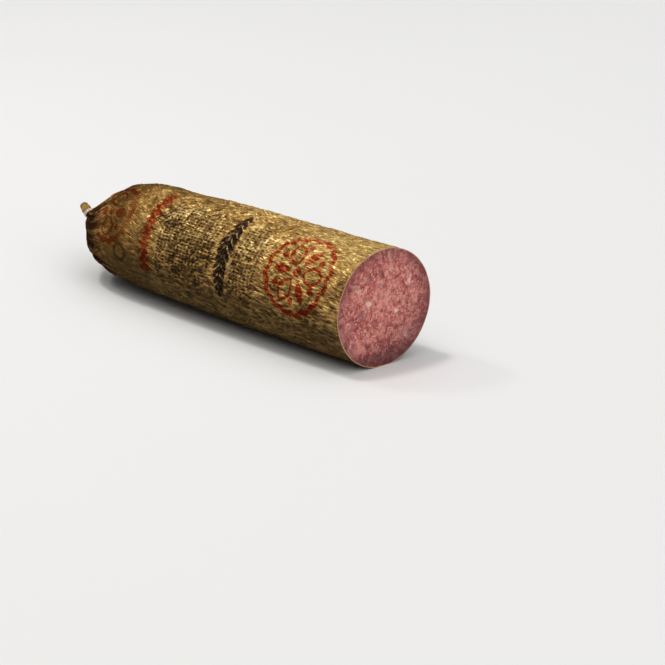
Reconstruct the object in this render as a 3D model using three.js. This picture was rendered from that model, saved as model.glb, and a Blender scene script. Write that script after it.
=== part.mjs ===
// A cured sausage with its front end cut off, lying on its side.
// It is three separate pieces: the firm meat, the thin printed casing that wraps it, and the string that ties
// the casing's gathered end. Past the string the casing ends in a short stub that points up.
// Millimetres, +Z up. X runs along the sausage, with the cut face at +X and the tied end at -X.
// The origin is the middle of the bounding box's underside.
import * as THREE from "three";
import { mergeVertices } from "three/addons/utils/BufferGeometryUtils.js";

// Driving dimensions
const CUT_RADIUS = 30.4; // over the casing, at the cut
const BELLY = 0.5; // how much thicker the sausage is at the middle of its straight stretch
const TAPER = 0.5; // how much thinner it has become where the rounded end begins
const TAPER_STARTS = 120;
const STRAIGHT = 166; // length from the cut to where the rounded end begins
const NECK_AT = 235.2; // distance of the tied neck from the cut
const TAIL_END = 242; // distance of the stub's tip from the cut
const NECK_RADIUS = 2.1;
const TAIL_RADIUS = 2.9;
const AXIS_HEIGHT = 30.15; // under the radius, so the sausage rests on a flat strip
const CASING = 0.5; // wall of the casing
const CLEARANCE = 0.3; // gap between two pieces that touch
const CUT_SLANT = THREE.MathUtils.degToRad(5); // the cut faces a little to the -Y side
const SLANT_FADES = 70; // length over which the slanted cut eases into square sections
const MEAT_END = 229; // distance of the meat's rounded tip from the cut
const STRING = 0.75; // diameter of the tying string
const TURNS = 3;
const GROOVE = 0.55; // height of the groove between two turns, beside the string's diameter
const STRING_AT = NECK_AT + 0.15; // where the first turn begins
const STRING_ENDS = STRING_AT + TURNS * STRING;

// Shape of the gathered end
const DOME_SWELL = 2.7; // how late the end's curve turns inwards
const PLEATS = 14;
const PLEAT_STARTS = 168;
const PLEAT_DEPTH = 0.15; // of the local radius, where the folds are deepest
const PLEAT_GROWTH = 1.4; // how late they deepen
const DEEPEST_AT = 226;
const SQUEEZED = [1.5, 8]; // distances before the neck between which the folds are pressed flat
const STUB_FOLDS = 0.8; // depth of the stub's folds, beside those of the end
const STUB_ENDS = TAIL_END - 1; // where the stub's rounded tip begins
const SHOULDER_RISE = 0.6; // how far the top of the shoulder stands over the straight stretch
const SHOULDER = [140, 196];
const DROOP = 4.3; // how far the middle of the end hangs below the axis
const DROOPING = [188, 239];
const TAIL_RISE = 7; // height of the stub's tip over the axis
const RISE_STARTS = 228.5;

// Waves round the sausage, each [height, how many, turn per mm along it, phase]
const UNEVENNESS = [[0.006, 2, 0.02, 0], [0.004, 3, -0.035, 1]]; // as shares of the radius
const PLEAT_WANDER = [[0.13, 3, 0, 1], [0.06, 5, 0, 2.4]]; // in radians

// Fineness of the mesh: how far apart its sections are, up to each distance from the cut
const SECTIONS = [[STRAIGHT, 20], [206, 5], [230, 3], [TAIL_END, 1.2]];
const AROUND = 5 * PLEATS;
const STRING_AROUND = 24;

const { sin, cos, tan, abs, max, hypot, atan2, PI } = Math;
const { clamp, lerp, smoothstep } = THREE.MathUtils;

const wave = ([height, count, drift, phase], s, angle) => height * sin(count * angle + drift * s + phase);
const waves = (list, s, angle) => list.reduce((sum, each) => sum + wave(each, s, angle), 0);

// A smooth hump that is 1 in the middle of the stretch and 0 at both ends.
const hump = (s, [from, to]) => (s > from && s < to ? sin((PI * (s - from)) / (to - from)) ** 2 : 0);

// Outer radius of the unpleated sausage, s mm from the cut.
function outerRadius(s) {
  const belly = BELLY * sin(PI * clamp(s / STRAIGHT, 0, 1));
  const body = CUT_RADIUS + belly - TAPER * smoothstep(s, TAPER_STARTS, STRAIGHT);
  if (s <= STRAIGHT) return body;
  if (s >= NECK_AT) return lerp(NECK_RADIUS, TAIL_RADIUS, smoothstep(s, STRING_ENDS, STUB_ENDS));
  const t = (s - STRAIGHT) / (NECK_AT - STRAIGHT);
  return lerp(body, NECK_RADIUS, t ** DOME_SWELL);
}

// Height of the centre line over the axis, and its slope where the stub turns up.
function centreLine(s) {
  const up = clamp((s - RISE_STARTS) / (TAIL_END - RISE_STARTS), 0, 1);
  const rise = TAIL_RISE * up ** 2 - DROOP * hump(s, DROOPING) + SHOULDER_RISE * hump(s, SHOULDER);
  return { rise, slope: (2 * TAIL_RISE * up) / (TAIL_END - RISE_STARTS) };
}

// Round folds with sharp creases between them, as a share of the local radius.
function pleat(s, angle) {
  const grows = smoothstep(s, PLEAT_STARTS, DEEPEST_AT) ** PLEAT_GROWTH;
  const beforeNeck = smoothstep(NECK_AT - s, ...SQUEEZED);
  const pastString = STUB_FOLDS * smoothstep(s, STRING_ENDS, TAIL_END);
  const round = angle + waves(PLEAT_WANDER, s, angle);
  return PLEAT_DEPTH * grows * (beforeNeck + pastString) * (1 - abs(sin((PLEATS * round) / 2)));
}

// Moves a point of the ideal round sausage to where it lies on the real one.
function place(s, radius, angle, folded) {
  const { rise, slope } = centreLine(s);
  const shape = 1 + waves(UNEVENNESS, s, angle) - (folded ? pleat(s, angle) : 0);
  const side = radius * shape * cos(angle);
  const up = radius * shape * sin(angle);
  const tilt = hypot(1, slope);
  const depth = clamp(outerRadius(s) - radius, 0, CASING + CLEARANCE);
  const z = max(AXIS_HEIGHT + rise + up / tilt, depth);
  const slant = tan(CUT_SLANT) * (1 - smoothstep(s, 0, SLANT_FADES));
  return new THREE.Vector3(-s + (up * slope) / tilt + slant * side, side, z);
}

// A closed skin round the sausage, from a profile of [distance from the cut, radius] points.
function skin(profile, around, folded) {
  const points = profile.map(([s, radius]) => new THREE.Vector2(radius, s));
  const lathe = new THREE.LatheGeometry(points, around);
  lathe.deleteAttribute("normal");
  lathe.deleteAttribute("uv");
  const position = lathe.getAttribute("position");
  for (let i = 0; i < position.count; i++) {
    const [a, s, b] = [position.getX(i), position.getY(i), position.getZ(i)];
    const moved = place(s, hypot(a, b), atan2(b, a), folded);
    position.setXYZ(i, moved.x, moved.y, moved.z);
  }
  const closed = mergeVertices(lathe, 1e-3);
  closed.computeVertexNormals();
  return closed;
}

// Distances from the cut at which a section is made: sparse along the body, close in the folds.
function stations(end) {
  const all = [];
  let s = 0;
  for (const [until, step] of SECTIONS) {
    while (s + step < until) all.push((s += step));
  }
  return all.filter((at) => at < end);
}

// The wall of a layer that lies inside the outer surface, up to a distance from the cut.
const wall = (end, depth) => stations(end).map((s) => [s, outerRadius(s) - depth]);

// The casing: out along the inside, round the cut's rim, and back over the outside to the stub's tip.
function casingProfile() {
  const closed = MEAT_END + 3 * CLEARANCE;
  const inside = [[0, CUT_RADIUS - CASING], ...wall(MEAT_END, CASING), [closed, 0]];
  const tip = [[lerp(STUB_ENDS, TAIL_END, 0.7), TAIL_RADIUS * 0.75], [TAIL_END, 0]];
  return [...inside.reverse(), [0, CUT_RADIUS], ...wall(STUB_ENDS, 0), ...tip];
}

// The meat: the flat cut, the body and the tip that fills the gathered end.
function meatProfile() {
  const depth = CASING + CLEARANCE;
  return [[0, 0], [0, CUT_RADIUS - depth], ...wall(MEAT_END, depth), [MEAT_END, 0]];
}

// The string's turns lie side by side round the neck, as one ring.
function stringProfile() {
  const bore = NECK_RADIUS + CLEARANCE;
  const steps = 4;
  const outside = [];
  for (let k = 0; k <= TURNS * steps; k++) {
    const across = abs(sin((PI * k) / steps));
    outside.push([STRING_AT + (k / steps) * STRING, bore + STRING * lerp(GROOVE, 1, across)]);
  }
  return [[STRING_AT, bore], ...outside, [STRING_ENDS, bore], [STRING_AT, bore]];
}

function piece(name, geometry, look) {
  const mesh = new THREE.Mesh(geometry, new THREE.MeshStandardMaterial(look));
  mesh.name = name;
  return mesh;
}

const sausage = new THREE.Group();
sausage.add(
  piece("meat", skin(meatProfile(), AROUND, true), { color: 0xa85358, roughness: 0.55 }),
  piece("casing", skin(casingProfile(), AROUND, true), { color: 0xb08a3e, roughness: 0.4, metalness: 0.7 }),
  piece("tie_string", skin(stringProfile(), STRING_AROUND, false), { color: 0xd9c3a0, roughness: 0.9 }),
);

// Stands the sausage on the origin.
const bounds = new THREE.Box3().setFromObject(sausage);
const middle = bounds.getCenter(new THREE.Vector3());
sausage.position.set(-middle.x, -middle.y, -bounds.min.z);

export default sausage;
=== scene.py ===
"""A cured sausage: firm meat in a wrinkled gold casing, cut flat at the front and tied at the back.

Metres, +Z up. X runs along the sausage, with the cut face at +X and the tied end at -X. In the names below,
along is the distance back from the cut, and turn the angle round the sausage, from the top towards -Y.
"""

import math

import bpy
import numpy as np
from mathutils import Matrix, Vector


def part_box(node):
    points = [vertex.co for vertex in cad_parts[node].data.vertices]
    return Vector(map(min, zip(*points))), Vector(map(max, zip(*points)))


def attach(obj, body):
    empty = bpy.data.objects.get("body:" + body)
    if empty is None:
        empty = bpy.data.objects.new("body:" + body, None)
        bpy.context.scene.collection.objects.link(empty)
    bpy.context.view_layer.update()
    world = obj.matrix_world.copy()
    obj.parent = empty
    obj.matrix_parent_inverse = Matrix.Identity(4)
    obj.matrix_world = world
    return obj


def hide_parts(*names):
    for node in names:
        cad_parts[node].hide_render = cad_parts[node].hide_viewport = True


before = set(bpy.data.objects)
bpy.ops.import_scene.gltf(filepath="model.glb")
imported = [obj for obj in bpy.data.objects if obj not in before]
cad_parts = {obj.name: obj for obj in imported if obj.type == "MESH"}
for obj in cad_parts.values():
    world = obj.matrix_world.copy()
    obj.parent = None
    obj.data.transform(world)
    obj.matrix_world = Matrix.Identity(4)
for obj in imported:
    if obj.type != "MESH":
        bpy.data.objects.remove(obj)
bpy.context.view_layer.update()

MM = 0.001

# The sausage's form, as the CAD has it
CUT_RADIUS = 30.4 * MM
BELLY = 0.5 * MM
TAPER = 0.5 * MM
TAPER_STARTS = 120 * MM
STRAIGHT = 166 * MM
NECK_AT = 235.2 * MM
STUB_TIP = 242 * MM
NECK_RADIUS = 2.1 * MM
STUB_RADIUS = 2.9 * MM
STUB_NARROWS = 0.5 * MM
AXIS_HEIGHT = 30.15 * MM
CASING = 0.5 * MM
CLEARANCE = 0.3 * MM
CUT_SLANT = math.radians(5)
SLANT_FADES = 70 * MM
MEAT_END = 229 * MM
STRING = 0.75 * MM
STRING_TURNS = 3
STRING_AT = NECK_AT + 0.15 * MM
STRING_ENDS = STRING_AT + STRING_TURNS * STRING
STUB_ROUNDS = STUB_TIP - 1 * MM
STUB_WIDENS = (STRING_ENDS - 0.6 * MM, STRING_ENDS + 0.8 * MM)
STUB_NARROWING = (STRING_ENDS + 1 * MM, STUB_ROUNDS)
CASING_CLOSES = MEAT_END + 3 * CLEARANCE
DOME_SWELL = 2.7
PLEATS = 14
PLEAT_STARTS = 168 * MM
PLEAT_DEPTH = 0.15
PLEAT_GROWTH = 1.4
DEEPEST_AT = 226 * MM
PRESSED_FLAT = (1.5 * MM, 8 * MM)
STUB_FOLDS = 0.8
SHOULDER_RISE = 0.6 * MM
SHOULDER = (140 * MM, 196 * MM)
DROOP = 4.3 * MM
DROOPING = (188 * MM, 239 * MM)
STUB_RISE = 7 * MM
RISE_STARTS = 228.5 * MM
# Waves round the sausage, each (height, how many, turn per metre along it, phase)
UNEVENNESS = ((0.006, 2, 20, 0), (0.004, 3, -35, 1))
PLEAT_WANDER = ((0.13, 3, 0, 1), (0.06, 5, 0, 2.4))
RAGGED_RIM = ((0.07 * MM, 7, 0, 0), (0.05 * MM, 17, 0, 1), (0.03 * MM, 41, 0, 2))
RIM_LIFT = 0.06 * MM
SKIN_SINKS = 0.48 * MM  # so that the wrinkles' crests stand only a little over the CAD's form

# Fineness of the skin: how far apart its rows are, up to each distance from the cut
ROWS = ((0.9 * MM, 0.3 * MM), (STRAIGHT, 1.25 * MM), (230 * MM, 1.05 * MM), (STUB_ROUNDS, 0.45 * MM))
COLUMNS = 396

# The unseen walls inside, which lie clear of the wrinkles' creases and have few rows where nothing is folded
INNER_DEPTH = 1.6 * MM
INNER_DEEPENS = (170 * MM, 205 * MM)
PLAIN_TO = 160 * MM
PLAIN_ROWS = 4
FOLDED_FROM = 175 * MM
FOLDED_ROWS = 12


def smooth(value, low, high):
    """0 up to low, 1 from high on, and an even S between them."""
    share = np.clip((value - low) / (high - low), 0, 1)
    return share * share * (3 - 2 * share)


def hump(along, ends):
    """A smooth hump that is 1 in the middle of a stretch and 0 at both ends."""
    share = np.clip((along - ends[0]) / (ends[1] - ends[0]), 0, 1)
    return np.sin(np.pi * share) ** 2


def waves(rows, along, angle):
    """The sum of waves round the sausage."""
    return sum(height * np.sin(count * angle + drift * along + phase) for height, count, drift, phase in rows)


def casing_radius(along):
    """Radius over the casing, without its pleats."""
    belly = BELLY * np.sin(np.pi * np.clip(along / STRAIGHT, 0, 1))
    body = CUT_RADIUS + belly - TAPER * smooth(along, TAPER_STARTS, STRAIGHT)
    share = np.clip((along - STRAIGHT) / (NECK_AT - STRAIGHT), 0, 1)
    dome = body + (NECK_RADIUS - body) * share**DOME_SWELL
    stub = NECK_RADIUS + (STUB_RADIUS - NECK_RADIUS) * smooth(along, *STUB_WIDENS)
    stub -= STUB_NARROWS * smooth(along, *STUB_NARROWING)
    return np.where(along < NECK_AT, dome, stub)


def inner_depth(along):
    """How deep the unseen walls lie under the casing's outside: more where it is folded."""
    return INNER_DEPTH * (1 + smooth(along, *INNER_DEEPENS))


def pleat(along, angle):
    """Round folds with sharp creases between them, as a share of the local radius."""
    grows = smooth(along, PLEAT_STARTS, DEEPEST_AT) ** PLEAT_GROWTH
    before_neck = smooth(NECK_AT - along, *PRESSED_FLAT)
    past_string = STUB_FOLDS * smooth(along, STRING_ENDS, STUB_TIP)
    wandered = angle + waves(PLEAT_WANDER, along, angle)
    return PLEAT_DEPTH * grows * (before_neck + past_string) * (1 - np.abs(np.sin(PLEATS * wandered / 2)))


def unshifted(along, radius, turn, folded=True):
    """Points of the sausage, with the cut's middle at x 0."""
    along, radius, turn = np.broadcast_arrays(along, radius, turn)
    angle = turn + np.pi / 2
    up = np.clip((along - RISE_STARTS) / (STUB_TIP - RISE_STARTS), 0, 1)
    rise = STUB_RISE * up**2 - DROOP * hump(along, DROOPING) + SHOULDER_RISE * hump(along, SHOULDER)
    slope = 2 * STUB_RISE * up / (STUB_TIP - RISE_STARTS)
    shape = 1 + waves(UNEVENNESS, along, angle) - (pleat(along, angle) if folded else 0)
    side = radius * shape * np.cos(angle)
    over = radius * shape * np.sin(angle)
    tilt = np.hypot(1, slope)
    depth = np.clip(casing_radius(along) - radius, 0, CASING + CLEARANCE)
    height = np.maximum(AXIS_HEIGHT + rise + over / tilt, depth)
    slant = math.tan(CUT_SLANT) * (1 - smooth(along, 0, SLANT_FADES))
    return np.stack([-along + over * slope / tilt + slant * side, side, height], -1)


def whole_turn(columns):
    """Angles once round, from the underside."""
    return np.linspace(-np.pi, np.pi, columns, endpoint=False)


def find_shift():
    """What brings the form above onto the CAD casing's box."""
    along = np.linspace(0, STUB_TIP, 500)[:, None]
    points = unshifted(along, casing_radius(along), whole_turn(280)[None, :]).reshape(-1, 3)
    low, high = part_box("casing")
    shift = (np.array(low) + np.array(high) - points.min(0) - points.max(0)) / 2
    shift[2] = 0
    return shift


SHIFT = find_shift()


def placed(along, radius, turn, folded=True):
    """Points of the sausage where the CAD has them."""
    return unshifted(along, radius, turn, folded) + SHIFT


class Value:
    """A socket of a node graph. Python's operators on it add Math nodes."""

    def __init__(self, graph, socket):
        self.graph = graph
        self.socket = socket

    def __add__(self, other):
        return self.graph.math("ADD", self, other)

    def __sub__(self, other):
        return self.graph.math("SUBTRACT", self, other)

    def __rsub__(self, other):
        return self.graph.math("SUBTRACT", other, self)

    def __mul__(self, other):
        return self.graph.math("MULTIPLY", self, other)

    def __truediv__(self, other):
        return self.graph.math("DIVIDE", self, other)

    def __rtruediv__(self, other):
        return self.graph.math("DIVIDE", other, self)

    def __abs__(self):
        return self.graph.math("ABSOLUTE", self)

    def __lt__(self, other):
        return self.graph.math("LESS_THAN", self, other)

    def __gt__(self, other):
        return self.graph.math("GREATER_THAN", self, other)

    __radd__ = __add__
    __rmul__ = __mul__


class Graph:
    """A node tree under construction, of a material or of geometry."""

    def __init__(self, tree):
        self.tree = tree

    def node(self, kind, settings=None, sockets=None, output=0):
        """Adds a node, sets it up, feeds its sockets and gives one of its outputs."""
        made = self.tree.nodes.new(kind)
        for name, value in (settings or {}).items():
            if name == "stops":
                self.set_stops(made.color_ramp, value)
            else:
                setattr(made, name, value)
        for name, value in (sockets or {}).items():
            if isinstance(value, Value):
                self.tree.links.new(value.socket, made.inputs[name])
            else:
                made.inputs[name].default_value = value
        return Value(self, made.outputs[output]) if made.outputs else None

    def set_stops(self, ramp, stops):
        while len(ramp.elements) < len(stops):
            ramp.elements.new(0.5)
        for element, (position, colour) in zip(ramp.elements, stops):
            element.position = position
            element.color = (*colour, 1)

    def math(self, operation, *values, clamp=False):
        settings = {"operation": operation, "use_clamp": clamp}
        return self.node("ShaderNodeMath", settings, dict(enumerate(values)))

    def vector(self, operation, *values):
        return self.node("ShaderNodeVectorMath", {"operation": operation}, dict(enumerate(values)))

    def scaled(self, vector, x, y, z):
        return self.vector("MULTIPLY", vector, (x, y, z))

    def stretched(self, vector, length):
        """The vector times a number that varies."""
        return self.node("ShaderNodeVectorMath", {"operation": "SCALE"}, {0: vector, "Scale": length})

    def parts(self, vector):
        split = self.node("ShaderNodeSeparateXYZ", None, {0: vector})
        return [Value(self, output) for output in split.socket.node.outputs]

    def noise(self, vector, scale, detail=2.0, roughness=0.5, output="Fac"):
        sockets = {"Vector": vector, "Scale": scale, "Detail": detail, "Roughness": roughness}
        return self.node("ShaderNodeTexNoise", None, sockets, output)

    def cells(self, vector, scale, output="Distance"):
        return self.node("ShaderNodeTexVoronoi", None, {"Vector": vector, "Scale": scale}, output)

    def cell_seeds(self, vector, scale):
        """Three random numbers for each cell."""
        return self.parts(self.cells(vector, scale, "Color"))

    def place(self):
        """Where a point lies on its piece."""
        return self.node("ShaderNodeTexCoord", output="Object")

    def attribute(self, name, output="Fac"):
        """A value that the piece's points carry."""
        return self.node("ShaderNodeAttribute", {"attribute_name": name}, output=output)

    def ramp(self, share, stops):
        """A colour that runs through the stops, each (position, colour)."""
        return self.node("ShaderNodeValToRGB", {"stops": stops}, {"Fac": share})

    def blend(self, one, other, share):
        """Mixes two colours."""
        first, second = [colour if isinstance(colour, Value) else (*colour, 1) for colour in (one, other)]
        settings = {"data_type": "RGBA", "clamp_factor": True}
        return self.node("ShaderNodeMix", settings, {0: share, 6: first, 7: second}, 2)

    def wobbled(self, vector, scale, reach, detail=1.0):
        """The vector, moved about by noise, up to about reach each way."""
        push = self.vector("SUBTRACT", self.noise(vector, scale, detail, output="Color"), (0.5, 0.5, 0.5))
        return self.vector("ADD", vector, self.vector("MULTIPLY", push, (reach * 4,) * 3))


def within(value, low, high):
    """0 up to low and 1 from high on, with an even S between them. Low may be the higher of the two."""
    graph = value.graph
    sockets = {"Value": value, "From Min": low, "From Max": high}
    return graph.node("ShaderNodeMapRange", {"interpolation_type": "SMOOTHSTEP"}, sockets)


def most(first, *others):
    for other in others:
        first = first.graph.math("MAXIMUM", first, other)
    return first


def clamped(value):
    return value.graph.math("ADD", value, 0, clamp=True)


def crests(noise, sharpness):
    """Sharp crests where the noise passes its middle, and flat ground elsewhere, from 0 to 1."""
    return clamped(1 - abs(noise - 0.5) * sharpness)


def leaned(vector, degrees):
    """The vector, turned round the sausage as it goes along it, so that lines along the axis lean."""
    graph = vector.graph
    along, _, _ = graph.parts(vector)
    turned = along * (math.tan(math.radians(degrees)) / CUT_RADIUS)
    sockets = {"Vector": vector, "Angle": turned}
    return graph.node("ShaderNodeVectorRotate", {"rotation_type": "X_AXIS"}, sockets)


def wrinkles(vector, degrees, length, spacing, sharpness=6.0, detail=0.0):
    """Crests of wrinkles round the sausage, which lean by an angle from its axis."""
    graph = vector.graph
    per = graph.node("ShaderNodeCombineXYZ", None, {"X": 1 / length, "Y": 1 / spacing, "Z": 1 / spacing})
    counted = graph.vector("MULTIPLY", leaned(vector, degrees), per)
    return crests(graph.noise(counted, 0.9, detail), sharpness)


def filled(inside, edge=0.25 * MM):
    """1 where a shape is, from how far inside it a point lies."""
    return clamped(inside / edge + 0.5)


def drawn(distance, width):
    """1 on a drawn line, from a point's distance to its middle."""
    return filled(width / 2 - abs(distance))


def repeated(value, pitch):
    """The value within its repeat, from minus half a pitch to half a pitch."""
    return value.graph.math("WRAP", value, pitch / 2, -pitch / 2)


def new_material(name):
    material = bpy.data.materials.new(name)
    material.use_nodes = True
    tree = material.node_tree
    tree.nodes.clear()
    return material, Graph(tree)


def finish_material(graph, surface, height=None, bump=1.0, reach=1 * MM):
    """Adds the surface's shader, with a relief that only light shows."""
    if height is not None:
        relief = {"Strength": bump, "Distance": reach, "Height": height}
        surface["Normal"] = graph.node("ShaderNodeBump", None, relief)
    shader = graph.node("ShaderNodeBsdfPrincipled", None, surface)
    graph.node("ShaderNodeOutputMaterial", None, {"Surface": shader})


# The print: generic motifs, in metres on the flattened casing
PRINT_REPEAT = math.pi * CUT_RADIUS
PRINT_MIDDLE = 31 * MM
PRINT_HALF = 25 * MM  # how far the lozenges and the sprig run to either side
FRONT_ROSETTE = (34 * MM, 0, 22.5 * MM)  # along, across, size
REAR_ROSETTE = (185 * MM, -3 * MM, 18.5 * MM)
SMALL_RING = (172 * MM, 19 * MM, 4.6 * MM)
LOZENGES_AT = 150 * MM
LOZENGE_PITCH = 4.6 * MM
LOZENGE_HALF_LENGTH = 4.8 * MM
LOZENGE_HALF_WIDTH = 3.3 * MM
SPRIG_AT = 88 * MM
LEAF_PITCH = 4.7 * MM
LEAF_LENGTH = 5.6 * MM
LEAF_WIDTH = 4.1 * MM
LEAF_SLANT = 0.9
GRAIN_PITCH = 2.7 * MM
GRAIN_STEP = 1.8 * MM
GRAIN_ROWS = ((23, 29), (36, 51))  # the first and the last row of each block
GRAIN_HALF = 18.5 * MM  # how far a row runs to either side
GRAIN_UNEVEN = 4 * MM  # how much longer or shorter a row may be
# A rosette's parts, as shares of its size
RIM_AT = 0.9
SCALLOPS = 16
SCALLOP_DEPTH = 0.07
PETAL_FROM = 0.2
PETAL_LENGTH = 0.58
PETAL_WIDTH = 1.14  # of all petals together
DOT_AT = 0.66
DOT_SIZE = 0.085
HEART_SIZE = 0.12


def rosette(along, across, middle_along, middle_across, size, petal_count=6, bold=1.0):
    """A rosette: a scalloped rim, petals of which every other one is filled, dots between, and a heart."""
    graph = along.graph
    x = along - middle_along
    y = across - middle_across
    far = graph.math("SQRT", x * x + y * y)
    angle = graph.math("ARCTAN2", y, x)
    scallops = abs(graph.math("SINE", angle * (SCALLOPS / 2))) * (SCALLOP_DEPTH * size)
    rim = drawn(far - scallops - RIM_AT * size, 2.8 * MM * bold)
    each = 2 * math.pi / petal_count
    sector = repeated(angle, each)
    out = far * graph.math("COSINE", sector)
    side = abs(far * graph.math("SINE", sector))
    share = (out - PETAL_FROM * size) / (PETAL_LENGTH * size)
    petal_width = graph.math("SINE", clamped(share) * math.pi) * (PETAL_WIDTH / petal_count * size)
    on_petal = (share > 0) * (share < 1)
    every_other = graph.math("COSINE", angle * (petal_count / 2)) > 0
    outlined = drawn(side - petal_width, 2.0 * MM * bold) * (1 - every_other)
    solid = filled(petal_width * 0.6 - side, 0.5 * MM) * every_other
    petals = most(outlined, solid) * on_petal
    between = repeated(angle + each / 2, each)
    dot_out = far * graph.math("COSINE", between) - DOT_AT * size
    dot_side = far * graph.math("SINE", between)
    dots = filled(DOT_SIZE * size - graph.math("SQRT", dot_out * dot_out + dot_side * dot_side))
    heart = filled(HEART_SIZE * size - far)
    return most(rim, petals, dots, heart)


def lozenge_row(along, across):
    """A close row of lozenges round the casing."""
    x = abs(along - LOZENGES_AT)
    y = abs(repeated(across, LOZENGE_PITCH))
    inside = (1 - x / LOZENGE_HALF_LENGTH - y / LOZENGE_HALF_WIDTH) * 2 * MM
    return filled(inside) * (abs(across) < PRINT_HALF)


def leaf_sprig(along, across):
    """A sprig that runs round the casing: a stem with a pair of slanted leaves at every step."""
    graph = along.graph
    reach = graph.math("SQRT", clamped(1 - across * across / PRINT_HALF**2)) * LEAF_LENGTH
    x = abs(along - SPRIG_AT)
    y = abs(repeated(across - x * LEAF_SLANT, LEAF_PITCH))
    share = x / most(reach, 0.1 * MM)
    leaves = filled(graph.math("SQRT", clamped(share * (1 - share))) * LEAF_WIDTH - y)
    stem = drawn(x, 1.3 * MM)
    return most(leaves * (share < 1), stem) * (abs(across) < PRINT_HALF)


def small_ring(along, across, middle_along, middle_across, size):
    graph = along.graph
    x = along - middle_along
    y = across - middle_across
    return drawn(graph.math("SQRT", x * x + y * y) - size, 2.3 * MM)


def grain_rows(along, across):
    """Rows of small grains round the casing, of uneven sizes and with a few left out."""
    graph = along.graph
    row = graph.math("FLOOR", along / GRAIN_PITCH)
    x = along - (row + 0.5) * GRAIN_PITCH
    cell = graph.math("FLOOR", across / GRAIN_STEP + 0.5)
    y = across - cell * GRAIN_STEP
    # A number from 0 to 1 that differs from grain to grain
    luck = graph.math("FRACT", graph.math("SINE", row * 12.9 + cell * 78.2) * 43.7)
    size = (0.9 + luck * 0.25) * MM * (luck > 0.06)
    grains = filled(size - graph.math("SQRT", x * x + y * y * 2.6), 0.35 * MM)
    half = GRAIN_HALF + graph.math("SINE", row * 7.3) * GRAIN_UNEVEN
    blocks = [(row > first - 0.5) * (row < last + 0.5) for first, last in GRAIN_ROWS]
    return grains * (abs(across) < half) * most(*blocks)


def printed(sheet):
    """Where the red and the dark print lie on the casing's flat sheet."""
    graph = sheet.graph
    rough = graph.wobbled(graph.wobbled(sheet, 90, 0.4 * MM), 420, 0.10 * MM)
    along, way_round, _ = graph.parts(rough)
    across = repeated(way_round - PRINT_MIDDLE, PRINT_REPEAT)
    red = most(
        rosette(along, across, *FRONT_ROSETTE),
        rosette(along, across, *REAR_ROSETTE, petal_count=4, bold=1.25),
        lozenge_row(along, across),
    )
    dark = most(
        leaf_sprig(along, across),
        grain_rows(along, across) * 0.78,
        small_ring(along, across, *SMALL_RING) * 0.7,
    )
    return red, dark


# The casing's colours: ramps from painted shade to painted highlight, each stop (share of painted light,
# colour), and single ones
GOLD = (
    (0.02, (0.046, 0.0280, 0.0115)),
    (0.26, (0.165, 0.091, 0.033)),
    (0.56, (0.465, 0.264, 0.078)),
    (0.95, (0.93, 0.670, 0.26)),
)
UNDERSIDE_SHADE_GOLD = ((0.15, (0.022, 0.0135, 0.0060)), (0.50, (0.051, 0.0315, 0.0130)), (1.0, (0.18, 0.115, 0.045)))
END_BROWN_AND_SHADE = (
    (0.26, (0.010, 0.0030, 0.0010)),
    (0.56, (0.050, 0.0185, 0.0055)),
    (0.80, (0.15, 0.070, 0.025)),
    (1.0, (0.32, 0.18, 0.07)),
)
RED_INK = (
    (0.05, (0.07, 0.003, 0.001)),
    (0.42, (0.22, 0.011, 0.002)),
    (0.70, (0.39, 0.041, 0.008)),
    (0.95, (0.74, 0.34, 0.15)),
)
DARK_INK = ((0.1, (0.004, 0.003, 0.003)), (0.7, (0.020, 0.014, 0.016)), (1.0, (0.22, 0.16, 0.09)))
RIDGE_HIGHLIGHT_GOLD = (0.95, 0.70, 0.29)
AMBER = (0.36, 0.17, 0.025)
END_SHADE = (0.028, 0.012, 0.005)
SHADED_RED = (0.085, 0.005, 0.001)
STUB_DARK = (0.46, 0.265, 0.06)
STUB_PALE = (0.82, 0.56, 0.18)
STUB_TIP_DARK = (0.20, 0.10, 0.025)
INNER_WALL = (0.58, 0.34, 0.20)

# Where the crossed wrinkles of the top begin, from the cut
PAST_FRONT = (28 * MM, 75 * MM)


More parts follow.
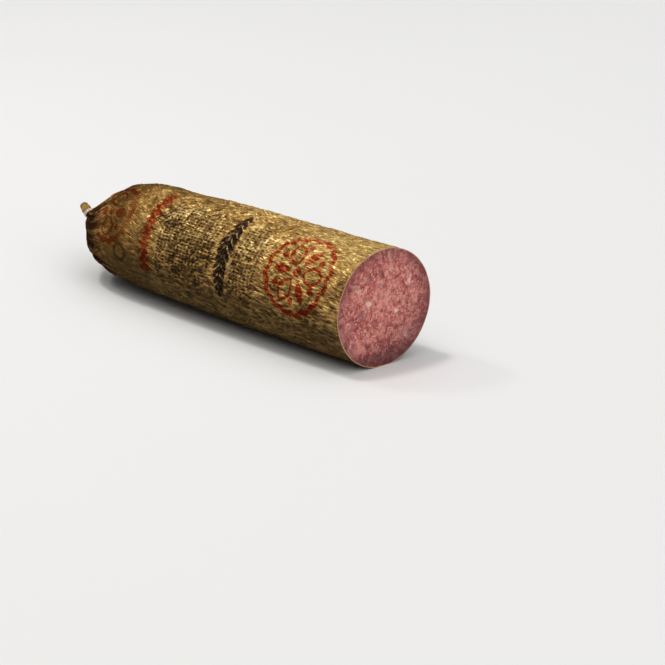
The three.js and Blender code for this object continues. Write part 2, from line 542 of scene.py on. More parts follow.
def casing_material():
    """Gold foil-like casing: bright on its crests and dark in its creases as painted highlights and painted
    shade, with painted shade down its flanks, under it and at its end, printed in red and dark ink.
    """
    material, graph = new_material("gold_casing")
    sheet = graph.node("ShaderNodeUVMap", {"uv_map": "sheet"})
    tube = graph.attribute("tube", "Vector")
    outside = graph.attribute("outside")
    crest, crease, ridge = [graph.attribute(name) for name in ("crest", "crease", "ridge")]
    red, dark = printed(sheet)

    # Zones along the sausage from the cut, and round it from its top
    along, across, _ = graph.parts(sheet)
    from_top = abs(across)
    past_front = within(along, *PAST_FRONT)
    # Painted shade that deepens towards the back
    shade_towards_back = within(along, 20 * MM, 190 * MM)
    shoulder = within(along, 135 * MM, 185 * MM)
    dome = within(along, 168 * MM, 192 * MM)
    far_end = within(along, 180 * MM, 210 * MM)
    pleated = within(along, 200 * MM, 220 * MM)
    stub = within(along, STRING_AT, STRING_ENDS)
    top = within(from_top, 24 * MM, 2 * MM)
    # Painted highlights: lighter along the top near the cut, and in a band just beside the top
    front_top = top * within(along, 80 * MM, 25 * MM)
    top_highlight_band = within(abs(across - 8 * MM), 20 * MM, 4 * MM)
    flank = within(from_top, 20 * MM, 48 * MM)
    underside = within(from_top, 42 * MM, 60 * MM)
    shaded_end = within(along, 184 * MM, 203 * MM) * within(from_top, 20 * MM, 38 * MM)

    # Fine lines, beside the wrinkles of the mesh, which the bump raises and the colour paints as highlights
    # and shade
    bent = graph.wobbled(tube, 70, 0.7 * MM)
    patch = graph.noise(tube, 75, 1)
    fine_long = wrinkles(bent, 4, 8 * MM, 1.25 * MM, 8, 1)
    fine_crossed = wrinkles(bent, -40, 4.5 * MM, 1.4 * MM, 9, 1)
    fine = fine_long + (fine_crossed - fine_long) * within(patch, 0.46, 0.60) * (past_front * 0.7 + 0.3)
    ribs = crests(graph.noise(graph.scaled(bent, 1100, 190, 190), 0.9, 1), 8)
    fine_crease = wrinkles(bent, 16, 7 * MM, 1.5 * MM, 8, 1)
    mottle = graph.noise(tube, 60, 3)
    grit = graph.noise(tube, 900, 2, 0.6)
    # Painted highlights along the crests, and painted shade in the creases
    crest_highlight_lines = within(crest, 0.35, 1.0) * 0.32 + fine * 0.32 + ribs * 0.08 + ridge * 0.30
    patchy_crease_shade = within(crease, 0.5, 1.0) * within(patch, 0.48, 0.56) * past_front
    crease_shade_lines = within(crease, 0.3, 1.0) * 0.26 + fine_crease * 0.18 + patchy_crease_shade * 0.22
    contrast = 1 - shoulder * (1 - dome) * 0.65 - top * (1 - dome) * 0.20

    # How light each facet is painted, from painted highlights on its crests to painted shade in its creases,
    # and how far its zone is painted in shade
    facet = 0.455 + front_top * 0.13 + top_highlight_band * 0.06 + (crest_highlight_lines - crease_shade_lines) * contrast
    facet = facet + (grit - 0.5) * 0.2 + (mottle - 0.5) * 0.2 + (ridge - 0.4) * dome * 0.5
    shade = flank * (0.28 + past_front * 0.03) * (1 - shoulder * 0.15)
    shade = shade + top * past_front * 0.035
    shade = shade + within(from_top, 34 * MM, 56 * MM) * shade_towards_back * 0.16 + shade_towards_back * 0.05
    shade = shade + shoulder * (within(from_top, 32 * MM, 10 * MM) * 0.26 + 0.02)
    lit = (facet - 0.5) * (1 + flank * 0.06) + 0.5 - shade
    pleat_facet = 0.58 + (facet - 0.56) * (1 - pleated * 0.45)
    pleat_lit = pleat_facet - 0.02 - within(along, 194 * MM, 216 * MM) * 0.08 - underside * 0.08

    # The bare casing, from gold to the brown end, with painted highlights and painted shade
    # Painted highlight along the long ridges
    ridge_highlight = within(ridge, 0.5, 0.9) * (1 - shoulder) * (1 - underside)
    gold = graph.blend(graph.ramp(lit, GOLD), RIDGE_HIGHLIGHT_GOLD, ridge_highlight * 0.5)
    gold = graph.blend(gold, AMBER, most(shoulder * 0.26, top * past_front * 0.16))
    # Painted shade: dull dark gold under the sausage
    ground = graph.blend(gold, graph.ramp(facet, UNDERSIDE_SHADE_GOLD), underside * 0.92)
    # The end's brown: partly its own colour, partly painted shade
    ground = graph.blend(ground, graph.ramp(pleat_lit, END_BROWN_AND_SHADE), far_end * 0.98)
    ground = graph.blend(ground, END_SHADE, shaded_end * 0.72)

    # The ink, worn off in specks and faded on the shoulder, lighter and darker as painted highlights and
    # painted shade, like the gold
    worn = within(grit, 0.30, 0.44)
    faded = 1 - within(mottle, 0.5, 0.62) * shoulder * 0.75
    in_shade = most(underside * 0.8, far_end * 0.6, shoulder * 0.5)
    red_ink = graph.blend(graph.ramp(lit, RED_INK), SHADED_RED, in_shade)
    colour = graph.blend(ground, red_ink, red * worn * faded * (0.95 - shoulder * 0.15))
    colour = graph.blend(colour, graph.ramp(lit, DARK_INK), dark * (worn * 0.35 + 0.65) * 0.96)

    # The stub past the string, darker towards its tip, and the inner wall
    darker_tip = within(along + (patch - 0.5) * (6 * MM), 239.8 * MM, 242.2 * MM)
    stub_colour = graph.blend(STUB_DARK, STUB_PALE, within(grit, 0.35, 0.65))
    stub_colour = graph.blend(stub_colour, STUB_TIP_DARK, darker_tip * 0.8)
    colour = graph.blend(colour, stub_colour, stub)
    colour = graph.blend(INNER_WALL, colour, outside)

    foil = outside * (1 - stub)
    ink = most(red, dark) * worn
    metallic = foil * (0.6 - ink * 0.3) * (1 - underside * 0.5) * (1 - far_end * 0.95)
    roughness = 0.29 + ink * 0.10 + (1 - foil) * 0.3 + (mottle - 0.5) * 0.2 + underside * 0.2 + far_end * 0.35
    surface = {
        "Base Color": colour,
        "Metallic": metallic,
        "Roughness": roughness,
        "Specular IOR Level": 0.0,
        "Specular Tint": (1.0, 0.82, 0.55, 1),
    }
    finish_material(graph, surface, fine + crest * 0.5 - crease * 0.5, 1.0, 0.32 * MM)
    return material


# The meat's colours
LEAN_DARK = (0.20, 0.021, 0.021)
LEAN = (0.47, 0.100, 0.079)
LEAN_PALE = (0.75, 0.284, 0.230)
LEAN_MAUVE = (0.48, 0.17, 0.18)
LEAN_TAWNY = (0.66, 0.36, 0.25)
CRUMB = (0.86, 0.53, 0.47)
FAT = (0.88, 0.64, 0.52)
DRY_RIM = (0.16, 0.018, 0.021)
EDGE_SHADE = (0.12, 0.012, 0.014)
LOWER_SHADE = (0.06, 0.006, 0.006)


def meat_material():
    """Finely minced cured meat: pink-red with pale fat specks, and darker and drier towards the casing."""
    material, graph = new_material("minced_meat")
    place = graph.place()
    rim = graph.attribute("rim")
    bent = graph.wobbled(graph.wobbled(place, 190, 1.1 * MM), 620, 0.35 * MM, 2)
    broad = graph.noise(place, 60, 2)
    soft = graph.noise(bent, 340, 4, 0.65)
    grain = graph.noise(bent, 1000, 2, 0.6)
    hue, lump, _ = graph.cell_seeds(bent, 480)
    tone = (soft - 0.5) * 1.25 + 0.50 + (grain - 0.5) * 0.9 + (broad - 0.5) * 0.7 + (hue - 0.5) * 0.14
    colour = graph.blend(LEAN_DARK, LEAN, within(tone, 0.24, 0.45))
    colour = graph.blend(colour, LEAN_PALE, within(tone, 0.43, 0.70))
    colour = graph.blend(colour, LEAN_MAUVE, within(lump, 0.70, 0.95) * 0.4)
    colour = graph.blend(colour, LEAN_TAWNY, within(lump, 0.25, 0.02) * 0.4)

    # Crumbs, and specks and lumps of fat, each in the cells whose seed is high
    speck_seed, _, _ = graph.cell_seeds(bent, 230)
    specks = within(speck_seed, 0.90, 0.95) * within(graph.cells(bent, 230) + (grain - 0.5) * 0.6, 0.50, 0.22)
    _, lump_seed, _ = graph.cell_seeds(bent, 95)
    lumps = within(lump_seed, 0.88, 0.90) * within(graph.cells(bent, 95) + (grain - 0.5) * 0.25, 0.29, 0.19)
    fat = most(specks, lumps)
    crumb_seed, _, _ = graph.cell_seeds(bent, 700)
    crumbs = within(crumb_seed, 0.74, 0.86) * within(graph.cells(bent, 700), 0.5, 0.2)
    colour = graph.blend(colour, CRUMB, crumbs * 0.65)
    colour = graph.blend(colour, FAT, fat * 0.75)

    # Darker near the rim, and where less light falls on the cut
    muted = 1.12 - within(tone, 0.32, 0.70) * 0.42
    near_rim = within(rim + (broad - 0.5) * 0.35, 0.68, 1.05) * 0.82
    _, side, height = graph.parts(place)
    over = height - AXIS_HEIGHT
    shaded = within(side * 0.6 - over * 0.8, 3 * MM, 31 * MM) * 0.72
    right_edge = within(side + over * 0.3, 16 * MM, 30 * MM) * 0.35
    lower_edge = within(over, -17 * MM, -29 * MM) * 0.55
    colour = graph.blend(colour, DRY_RIM, near_rim * muted)
    colour = graph.blend(colour, EDGE_SHADE, most(shaded, right_edge) * muted)
    colour = graph.blend(colour, LOWER_SHADE, lower_edge * muted)
    surface = {
        "Base Color": colour,
        "Roughness": 0.52 + (grain - 0.5) * 0.35,
        "Subsurface Weight": 0.18,
        "Subsurface Radius": (0.9, 0.35, 0.25),
        "Subsurface Scale": 1.2 * MM,
        "Coat Weight": 0.08,
        "Coat Roughness": 0.35,
    }
    finish_material(graph, surface, grain * 0.6 + crumbs * 0.2 + fat * 0.2, 0.55, 0.25 * MM)
    return material


def string_material():
    """Pale cotton string, a little stained."""
    material, graph = new_material("cotton_string")
    place = graph.place()
    fibres = graph.noise(place, 5200, 2, 0.6)
    stain = graph.noise(place, 420, 2)
    colour = graph.blend((0.62, 0.46, 0.36), (0.92, 0.80, 0.70), within(fibres, 0.3, 0.7))
    colour = graph.blend(colour, (0.50, 0.30, 0.18), within(stain, 0.5, 0.75) * 0.4)
    finish_material(graph, {"Base Color": colour, "Roughness": 0.88}, fibres, 0.5, 0.05 * MM)
    return material


def floor_material():
    material, graph = new_material("pale_floor")
    place = graph.place()
    colour = graph.blend((0.80, 0.80, 0.80), (0.82, 0.82, 0.82), graph.noise(place, 3, 2))
    finish_material(graph, {"Base Color": colour, "Roughness": 0.9})
    return material


def new_geometry(name, sizes):
    """A Geometry Nodes tree with a geometry input and output and one named input for each size."""
    tree = bpy.data.node_groups.new(name, "GeometryNodeTree")
    tree.interface.new_socket(name="Geometry", in_out="INPUT", socket_type="NodeSocketGeometry")
    tree.interface.new_socket(name="Geometry", in_out="OUTPUT", socket_type="NodeSocketGeometry")
    for size, kind in sizes.items():
        tree.interface.new_socket(name=size, in_out="INPUT", socket_type="NodeSocket" + kind)
    graph = Graph(tree)
    entry = tree.nodes.new("NodeGroupInput")
    given = {socket.name: Value(graph, socket) for socket in entry.outputs if socket.name}
    return graph, given


def finish_geometry(graph, geometry, material):
    """Ends a tree: real mesh, smooth, in its material."""
    geometry = graph.node("GeometryNodeRealizeInstances", None, {"Geometry": geometry})
    geometry = graph.node("GeometryNodeSetShadeSmooth", None, {"Geometry": geometry})
    geometry = graph.node("GeometryNodeSetMaterial", None, {"Geometry": geometry, "Material": material})
    graph.node("NodeGroupOutput", None, {"Geometry": geometry})


def stored(graph, geometry, name, value):
    sockets = {"Geometry": geometry, "Name": name, "Value": value}
    return graph.node("GeometryNodeStoreNamedAttribute", {"data_type": "FLOAT", "domain": "POINT"}, sockets)


def named(graph, name, kind="FLOAT"):
    return graph.node("GeometryNodeInputNamedAttribute", {"data_type": kind}, {"Name": name})


def crumpled_skin():
    """Raises the wrinkles: long ones down the flanks, crossed ones on top, and folds at the tied end."""
    sizes = {
        "Wrinkle Depth": "Float",
        "Wrinkle Spacing": "Float",
        "Wrinkle Length": "Float",
        "Crease Depth": "Float",
        "Ridge Depth": "Float",
        "Fold Depth": "Float",
        "Swell": "Float",
        "Seed": "Float",
        "Material": "Material",
    }
    graph, given = new_geometry("crumpled_skin", sizes)
    tube = named(graph, "tube", "FLOAT_VECTOR")
    outside = named(graph, "outside")
    seed = graph.node("ShaderNodeCombineXYZ", None, {"X": given["Seed"]})
    here = graph.vector("ADD", tube, seed)
    along, _, height = graph.parts(tube)
    bent = graph.wobbled(here, 45, 2 * MM)
    length, spacing = given["Wrinkle Length"], given["Wrinkle Spacing"]
    patch = graph.noise(here, 60, 1)
    _, second, third = graph.parts(graph.noise(here, 45, 1, output="Color"))
    past_front = within(along, *PAST_FRONT)
    on_top = within(height + (patch - 0.5) * (50 * MM), 2 * MM, 24 * MM)
    on_top = on_top * (past_front * 0.5 + 0.5) * within(along, 208 * MM, 178 * MM)
    lengthwise = wrinkles(bent, 6, length, spacing, 6, 1)
    rising = wrinkles(bent, 38, length * 0.8, spacing * 1.1) * within(second, 0.42, 0.56)
    falling = wrinkles(bent, -34, length * 0.8, spacing) * within(second, 0.56, 0.42)
    across = wrinkles(bent, 68, length * 0.5, spacing * 0.7) * within(third, 0.48, 0.6)
    crossed = most(rising, falling, across)
    crest = most(lengthwise * (1 - on_top * 0.6), crossed * (on_top * 0.6 + 0.4))
    crease = wrinkles(bent, 14, length * 0.7, spacing * 1.25, 7) * (0.5 + on_top * 0.5)
    crease = most(crease, wrinkles(bent, -52, length * 0.7, spacing * 1.5, 7) * within(patch, 0.42, 0.55))
    one_patch, other_patch, _ = graph.parts(graph.noise(here, 38, 1, output="Color"))
    ridge = wrinkles(bent, 48, length * 2.2, spacing * 3, 13) * within(one_patch, 0.52, 0.60)
    ridge = most(ridge, wrinkles(bent, -44, length * 2.2, spacing * 3, 13) * within(other_patch, 0.52, 0.60))
    ridge = ridge * within(along, 14 * MM, 40 * MM) * (on_top * 0.7 + 0.3)
    relief = crest * given["Wrinkle Depth"] - crease * given["Crease Depth"] + ridge * given["Ridge Depth"]
    relief = relief * (1 - within(along, 140 * MM, 190 * MM) * 0.45)

    gathered = within(along, 170 * MM, 212 * MM) * within(along, NECK_AT - 0.5 * MM, NECK_AT - 6 * MM)
    folds = crests(graph.noise(graph.scaled(here, 14, 120, 120), 1.0, 1.5), 7)
    ridge = most(ridge, folds * gathered)
    stub = within(along, STRING_ENDS, STRING_ENDS + 1.5 * MM)
    stub_folds = (crests(graph.noise(graph.scaled(here, 60, 105, 105), 1.0, 1), 4) - 0.9) * stub * (0.35 * MM)
    swell = (graph.noise(here, 24, 1) - 0.5) * given["Swell"] * within(along, 215 * MM, 170 * MM)
    before_neck = outside * within(along, 234 * MM, 226 * MM)
    folded = (folds - 0.5) * gathered * given["Fold Depth"]
    out = (relief - SKIN_SINKS) * before_neck + folded + swell + stub_folds
    out = out * outside * (within(along, 0, 5 * MM) * 0.7 + 0.3)

    offset = graph.stretched(graph.node("GeometryNodeInputNormal"), out)
    moved = graph.node("GeometryNodeSetPosition", None, {"Geometry": given["Geometry"], "Offset": offset})
    x, y, z = graph.parts(graph.node("GeometryNodeInputPosition"))
    above_floor = graph.node("ShaderNodeCombineXYZ", None, {"X": x, "Y": y, "Z": most(z, 0.0)})
    rested = graph.node("GeometryNodeSetPosition", None, {"Geometry": moved, "Position": above_floor})
    # Where the crests, creases and ridges lie, which the casing's material paints lit and shaded
    marked = stored(graph, stored(graph, rested, "crest", crest), "crease", crease)
    marked = stored(graph, marked, "ridge", ridge)
    finish_geometry(graph, marked, given["Material"])
    return graph.tree


def minced_face():
    """Gives the cut face its fine relief of torn grains and shallow pits."""
    sizes = {"Grain Depth": "Float", "Grain Size": "Float", "Pit Depth": "Float", "Material": "Material"}
    graph, given = new_geometry("minced_face", sizes)
    face = named(graph, "face")
    here = graph.node("GeometryNodeInputPosition")
    bent = graph.wobbled(here, 200, 0.6 * MM)
    grain = graph.noise(bent, 1 / given["Grain Size"], 2, 0.55)
    pits = within(graph.noise(bent, 0.35 / given["Grain Size"], 1), 0.36, 0.26)
    broad = graph.noise(here, 40, 1)
    out = (grain - 0.5) * given["Grain Depth"] - pits * given["Pit Depth"] + (broad - 0.5) * (0.25 * MM)
    offset = graph.stretched(graph.node("GeometryNodeInputNormal"), out * face)
    moved = graph.node("GeometryNodeSetPosition", None, {"Geometry": given["Geometry"], "Offset": offset})
    finish_geometry(graph, moved, given["Material"])
    return graph.tree


def twisted_string():
    """Lays plies round a path, twists them and gives them their thickness."""
    sizes = {
        "Plies": "Int",
        "Ply Radius": "Float",
        "Twist Pitch": "Float",
        "Step": "Float",
        "Material": "Material",
    }
    graph, given = new_geometry("twisted_string", sizes)
    sockets = {"Curve": given["Geometry"], "Length": given["Step"]}
    path = graph.node("GeometryNodeResampleCurve", {"mode": "LENGTH"}, sockets)
    sockets = {"Geometry": path, "Amount": given["Plies"]}
    plies = graph.node("GeometryNodeDuplicateElements", {"domain": "SPLINE"}, sockets)
    index = Value(graph, plies.socket.node.outputs["Duplicate Index"])
    length = graph.node("GeometryNodeSplineParameter", output="Length")
    angle = (index / given["Plies"] + length / given["Twist Pitch"]) * (2 * math.pi)
    normal = graph.node("GeometryNodeInputNormal")
    tangent = graph.node("GeometryNodeInputTangent")
    sockets = {"Vector": normal, "Axis": tangent, "Angle": angle}
    out = graph.node("ShaderNodeVectorRotate", {"rotation_type": "AXIS_ANGLE"}, sockets)
    offset = graph.stretched(out, given["Ply Radius"] * 1.1)
    twisted = graph.node("GeometryNodeSetPosition", None, {"Geometry": plies, "Offset": offset})
    sockets = {"Resolution": 7, "Radius": given["Ply Radius"]}
    ring = graph.node("GeometryNodeCurvePrimitiveCircle", None, sockets)
    sockets = {"Curve": twisted, "Profile Curve": ring, "Fill Caps": True}
    mesh = graph.node("GeometryNodeCurveToMesh", None, sockets)
    finish_geometry(graph, mesh, given["Material"])
    return graph.tree


def new_object(name, data):
    made = bpy.data.objects.new(name, data)
    bpy.context.scene.collection.objects.link(made)
    return made


def shaped(piece, tree, **sizes):
    """The piece as the tree makes it, as a plain mesh in place of the object given."""
    modifier = piece.modifiers.new(tree.name, "NODES")
    modifier.node_group = tree
    sockets = {item.name: item.identifier for item in tree.interface.items_tree if item.in_out == "INPUT"}
    for size, value in sizes.items():
        modifier[sockets[size.replace("_", " ").title()]] = value
    evaluated = piece.evaluated_get(bpy.context.evaluated_depsgraph_get())
    mesh = bpy.data.meshes.new_from_object(evaluated)
    name = piece.name
    bpy.data.objects.remove(piece)
    made = new_object(name, mesh)
    mesh.name = name
    return made


def new_mesh_piece(name, points, faces, attributes):
    mesh = bpy.data.meshes.new(name)
    mesh.from_pydata(points.tolist(), [], faces)
    mesh.shade_smooth()
    for label, values in attributes.items():
        kind, field = ("FLOAT", "value") if values.ndim == 1 else ("FLOAT_VECTOR", "vector")
        mesh.attributes.new(label, kind, "POINT").data.foreach_set(field, values.astype(np.float32).ravel())
    return new_object(name, mesh)


def quads_between(rows, columns):
    """The quads between neighbouring rows that run round, closed at the seam, as indexes of their points."""
    row = np.arange(rows - 1)[:, None] * columns
    here = np.arange(columns)[None, :]
    after = (here + 1) % columns
    return np.stack([row + here, row + columns + here, row + columns + after, row + after], -1).reshape(-1, 4)


def fan(pole, ring, outward):
    """Triangles from a pole to a closed ring of points."""
    pairs = zip(ring, np.roll(ring, -1))
    return [(pole, int(b), int(a)) if outward else (pole, int(a), int(b)) for a, b in pairs]


def distances(rows):
    """Distances from the cut, at the spacing that each stretch asks for."""
    found = [0.0]
    for until, step in rows:
        while found[-1] + step < until:
            found.append(found[-1] + step)
    return np.array(found[1:])


def make_casing(material):
    """The casing: its inner wall, its rim at the cut, its wrinkled outside and the stub past the string."""
    outer = distances(ROWS)
    folded_rows = np.linspace(MEAT_END, FOLDED_FROM, FOLDED_ROWS)
    plain_rows = np.linspace(PLAIN_TO, 6 * MM, PLAIN_ROWS)
    inner = np.concatenate([folded_rows, plain_rows])
    # Points of the profile, each (distance from the cut, height over the plain outside)
    rim = [
        (3 * MM, -CASING),
        (0.6 * MM, -CASING),
        (0.05 * MM, -CASING),
        (0.0, -CASING + RIM_LIFT),
        (0.0, -1.5 * RIM_LIFT),
        (0.03 * MM, -0.5 * RIM_LIFT),
        (0.12 * MM, 0.0),
    ]
    tip = [
        (STUB_TIP - 1 * MM, 0.0),
        (STUB_TIP - 0.6 * MM, -0.25 * MM),
        (STUB_TIP - 0.25 * MM, -0.75 * MM),
        (STUB_TIP - 0.03 * MM, -1.5 * MM),
    ]
    inside = [(at, -inner_depth(at)) for at in inner]
    profile = inside + rim + [(at, 0.0) for at in outer] + tip
    along, out = np.array(profile).T
    radius = casing_radius(along) + out
    turn = whole_turn(COLUMNS)
    points = placed(along[:, None], radius[:, None], turn[None, :])
    rim_ends = len(inside) + len(rim)
    points[len(inside) + 1 : rim_ends, :, 0] += waves(RAGGED_RIM, 0, turn)
    flat_points = points.reshape(-1, 3)
    poles = placed(np.array([CASING_CLOSES, STUB_TIP]), np.zeros(2), np.zeros(2))
    count = len(flat_points)
    faces = quads_between(len(profile), COLUMNS).tolist()
    faces += fan(count, np.arange(COLUMNS), True)
    faces += fan(count + 1, np.arange(count - COLUMNS, count), False)

    tube_along, tube_turn = np.broadcast_arrays(along[:, None], turn[None, :])
    tube_side, tube_over = -CUT_RADIUS * np.sin(tube_turn), CUT_RADIUS * np.cos(tube_turn)
    tube = np.stack([tube_along, tube_side, tube_over], -1).reshape(-1, 3)
    tube = np.vstack([tube, [[MEAT_END, 0, 0], [STUB_TIP, 0, 0]]])
    is_outside = np.arange(len(profile)) >= rim_ends - 1
    outside = np.append(np.repeat(is_outside.astype(float), COLUMNS), [0.0, 1.0])
    points = np.vstack([flat_points, poles])
    piece = new_mesh_piece("printed_casing", points, faces, {"tube": tube, "outside": outside})
    lay_sheet(piece.data, along, turn)
    return shaped(
        piece,
        crumpled_skin(),
        wrinkle_depth=0.5 * MM,
        wrinkle_spacing=2.3 * MM,
        wrinkle_length=9 * MM,
        crease_depth=0.32 * MM,
        ridge_depth=0.45 * MM,
        fold_depth=0.9 * MM,
        swell=1.2 * MM,
        seed=0.37,
        material=material,
    )


def lay_sheet(mesh, along, turn):
    """The casing's own UV map, in metres: the distance from the cut, and the way round from the top."""
    rows, columns = len(along), len(turn)
    step = turn[1] - turn[0]
    row_along = np.stack([along[:-1], along[1:], along[1:], along[:-1]], -1)
    column_arc = np.stack([turn, turn, turn + step, turn + step], -1) * CUT_RADIUS
    quads = np.zeros((rows - 1, columns, 4, 2))
    quads[..., 0] = row_along[:, None, :]
    quads[..., 1] = column_arc[None, :, :]
    fans = np.zeros((2, columns, 3, 2))
    fans[0, :, :, 0] = along[0]
    fans[1, :, :, 0] = along[-1]
    fans[..., 1] = (turn * CUT_RADIUS)[None, :, None]
    corners = np.concatenate([quads.reshape(-1, 2), fans.reshape(-1, 2)])
    mesh.uv_layers.new(name="sheet").uv.foreach_set("vector", corners.astype(np.float32).ravel())


def make_meat(material):
    """The meat: a close-meshed cut face, and plain walls inside the casing."""
    cells = 176
    edge = np.linspace(-1, 1, cells + 1)
    u, v = np.meshgrid(edge, edge, indexing="ij")
    x, y = u * np.sqrt(1 - v * v / 2), v * np.sqrt(1 - u * u / 2)
    reach, turn = np.hypot(x, y), np.arctan2(-x, y)
    face_radius = CUT_RADIUS - CASING + 0.04 * MM
    face = placed(0.0, reach * face_radius, turn).reshape(-1, 3)
    index = np.arange((cells + 1) ** 2).reshape(cells + 1, cells + 1)
    corners = [index[:-1, :-1], index[:-1, 1:], index[1:, 1:], index[1:, :-1]]
    faces = np.stack(corners, -1).reshape(-1, 4).tolist()
    border = np.concatenate([index[:-1, 0], index[-1, :-1], index[:0:-1, -1], index[0, :0:-1]])
    border_turn = turn.ravel()[border]
    plain_rows = np.linspace(8 * MM, PLAIN_TO, PLAIN_ROWS)
    folded_rows = np.linspace(FOLDED_FROM, MEAT_END - 1 * MM, FOLDED_ROWS)
    walls = np.concatenate([[0.5 * MM, 3 * MM], plain_rows, folded_rows])
    wall_depth = np.where(walls < 4 * MM, CASING, inner_depth(walls))
    wall_radius = casing_radius(walls) - wall_depth - 0.05 * MM
    wall_points = placed(walls[:, None], wall_radius[:, None], border_turn[None, :]).reshape(-1, 3)
    end = placed(np.array([MEAT_END]), np.zeros(1), np.zeros(1))
    start, around = len(face), len(border)
    rings = np.vstack([border, start + np.arange(len(walls) * around).reshape(len(walls), around)])
    after = np.roll(rings, -1, axis=1)
    faces += np.stack([rings[:-1], rings[1:], after[1:], after[:-1]], -1).reshape(-1, 4).tolist()
    faces += fan(start + len(wall_points), rings[-1], False)
    points = np.vstack([face, wall_points, end])
    rim = np.ones(len(points))
    rim[: len(face)] = reach.ravel()
    on_face = np.zeros(len(points))
    on_face[: len(face)] = 1 - smooth(reach.ravel(), 0.965, 0.998)
    piece = new_mesh_piece("cut_meat", points, faces, {"rim": rim, "face": on_face})
    return shaped(
        piece,
        minced_face(),
        grain_depth=0.5 * MM,
        grain_size=1.1 * MM,
        pit_depth=0.12 * MM,
        material=material,
    )


KNOT_TURN = math.radians(-110)
KNOT_SIZE = 0.36 * MM


def string_path(name, points):
    """A path for the string, as a curve through the points."""
    curve = bpy.data.curves.new(name, "CURVE")
    curve.dimensions = "3D"
    spline = curve.splines.new("POLY")
    spline.points.add(len(points) - 1)
    spline.points.foreach_set("co", np.column_stack([points, np.ones(len(points))]).ravel())
    return new_object(name, curve)


def overhand_knot():
    """Points along an overhand knot, whose two ends spread apart."""
    ends_at, spreads_from = 0.86 * math.pi, 0.72
    sideways, backwards = 9 * MM, 12 * MM
    share = np.linspace(-1, 1, 90)
    angle = share * ends_at
    x = np.sin(angle) + 2 * np.sin(2 * angle)
    y = np.cos(angle) - 2 * np.cos(2 * angle)
    z = -1.6 * np.sin(3 * angle)
    knot = np.stack([x, y, z], -1) * KNOT_SIZE
    spread = np.sign(share) * np.clip(np.abs(share) - spreads_from, 0, 1) ** 1.5
    knot[:, 0] += spread * sideways
    knot[:, 1] -= np.abs(spread) * backwards
    return knot


def make_string(material):
    """The string: its turns round the neck, and on the far side a small knot with two short ends."""
    tree = twisted_string()
    sizes = dict(plies=3, ply_radius=0.185 * MM, twist_pitch=1.9 * MM, step=0.11 * MM, material=material)
    winding = np.linspace(0, 1, 150)
    turns_along = STRING_AT + STRING * (0.5 + winding * (STRING_TURNS - 1))
    turns_turn = winding * STRING_TURNS * 2 * np.pi + KNOT_TURN
    centre = NECK_RADIUS + CLEARANCE + STRING / 2
    turns = placed(turns_along, centre, turns_turn, folded=False)
    coil = shaped(string_path("string_turns", turns), tree, **sizes)

    middle_turn = np.array([STRING_AT + 1.5 * STRING])
    anchor = placed(middle_turn, centre + STRING, KNOT_TURN, folded=False)[0]
    lean = Matrix.Rotation(math.radians(-70), 3, "X") @ Matrix.Rotation(math.radians(35), 3, "Y")
    knot_points = overhand_knot() @ np.array(lean).T + anchor
    knot = shaped(string_path("string_knot", knot_points), tree, **sizes)
    return coil, knot


def make_floor(material):
    half = 6.0
    corners = [(-half, -half, 0), (half, -half, 0), (half, half, 0), (-half, half, 0)]
    mesh = bpy.data.meshes.new("floor")
    mesh.from_pydata(corners, [], [(0, 1, 2, 3)])
    mesh.materials.append(material)
    floor = new_object("floor", mesh)


# The camera, from the cut's middle on the floor: fitted to the photograph's outline of the sausage
CAMERA_FROM_CUT = Vector((549.3, -588.3, 294.5)) * MM
TARGET_FROM_CUT = Vector((-53.3, 17.4, 0)) * MM
CAMERA_ROLL = math.radians(-0.36)
CAMERA_LENS = 93.4


def make_camera():
    cut = Vector((SHIFT[0], SHIFT[1], 0))
    data = bpy.data.cameras.new("camera")
    data.lens = CAMERA_LENS
    data.sensor_width = 36
    camera = new_object("camera", data)
    camera.location = cut + CAMERA_FROM_CUT
    look = (TARGET_FROM_CUT - CAMERA_FROM_CUT).to_track_quat("-Z", "Y")
    camera.rotation_mode = "QUATERNION"
    camera.rotation_quaternion = look @ Matrix.Rotation(-CAMERA_ROLL, 3, "Z").to_quaternion()
    bpy.context.scene.camera = camera


def from_angles(azimuth, elevation):
    """The direction that a light comes from. Azimuth 0 is in front, on the -Y side, and 90 at +X."""
    a, e = math.radians(azimuth), math.radians(elevation)
    return Vector((math.sin(a) * math.cos(e), -math.cos(a) * math.cos(e), math.sin(e)))


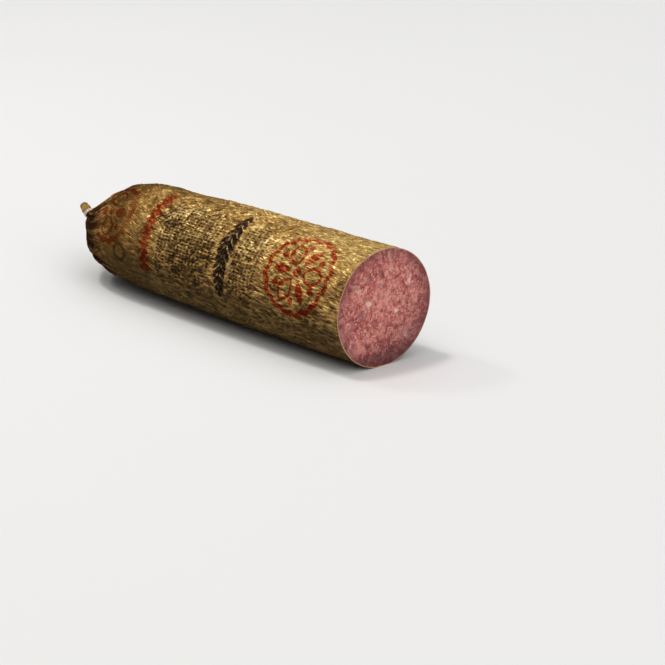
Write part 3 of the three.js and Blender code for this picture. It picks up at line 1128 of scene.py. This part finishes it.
def new_lamp(name, kind, azimuth, elevation, power, colour):
    """A lamp that shines at the sausage from a direction."""
    data = bpy.data.lights.new(name, kind)
    data.energy = power
    data.color = colour
    lamp = new_object(name, data)
    lamp.rotation_mode = "QUATERNION"
    lamp.rotation_quaternion = (-from_angles(azimuth, elevation)).to_track_quat("-Z", "Y")
    return lamp


def make_light(name, azimuth, elevation, distance, size, power, colour):
    """A soft square light."""
    light = new_lamp(name, "AREA", azimuth, elevation, power, colour)
    light.data.shape = "SQUARE"
    light.data.size = size
    light.location = from_angles(azimuth, elevation) * distance


def make_sun(name, azimuth, elevation, width, power, colour):
    """A distant lamp, so that the whole floor is lit evenly. Its width in degrees softens the shadows."""
    sun = new_lamp(name, "SUN", azimuth, elevation, power, colour)
    sun.data.angle = math.radians(width)


def make_studio():
    """A dim room with a broad soft light overhead, two distant lamps and a small warm light."""
    world = bpy.data.worlds.new("studio")
    world.use_nodes = True
    world.node_tree.nodes.clear()
    graph = Graph(world.node_tree)
    _, _, height = graph.parts(graph.node("ShaderNodeTexCoord", output="Generated"))
    strength = within(height, 0.5, 0.95) * 0.95 + 0.12
    background = graph.node("ShaderNodeBackground", None, {"Color": (1, 1, 1, 1), "Strength": strength})
    graph.node("ShaderNodeOutputWorld", None, {"Surface": background})
    bpy.context.scene.world = world
    bpy.context.scene.view_settings.view_transform = "Standard"
    make_sun("key", azimuth=-60, elevation=72, width=9, power=0.85, colour=(1.0, 0.98, 0.95))
    make_sun("side", azimuth=75, elevation=34, width=40, power=1.0, colour=(1, 1, 1))
    warm = (1.0, 0.95, 0.86)
    make_light("sheen", azimuth=-70, elevation=50, distance=1.3, size=0.2, power=2.0, colour=warm)


casing = make_casing(casing_material())
meat = make_meat(meat_material())
coil, knot = make_string(string_material())
stand_ins = ((casing, "casing", "casing"), (meat, "meat", "meat"), (coil, "tie_string", "string"))
for piece, node, slot in stand_ins:
    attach(piece, "root")
    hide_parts(node)
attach(knot, "root")
make_floor(floor_material())
make_camera()
make_studio()
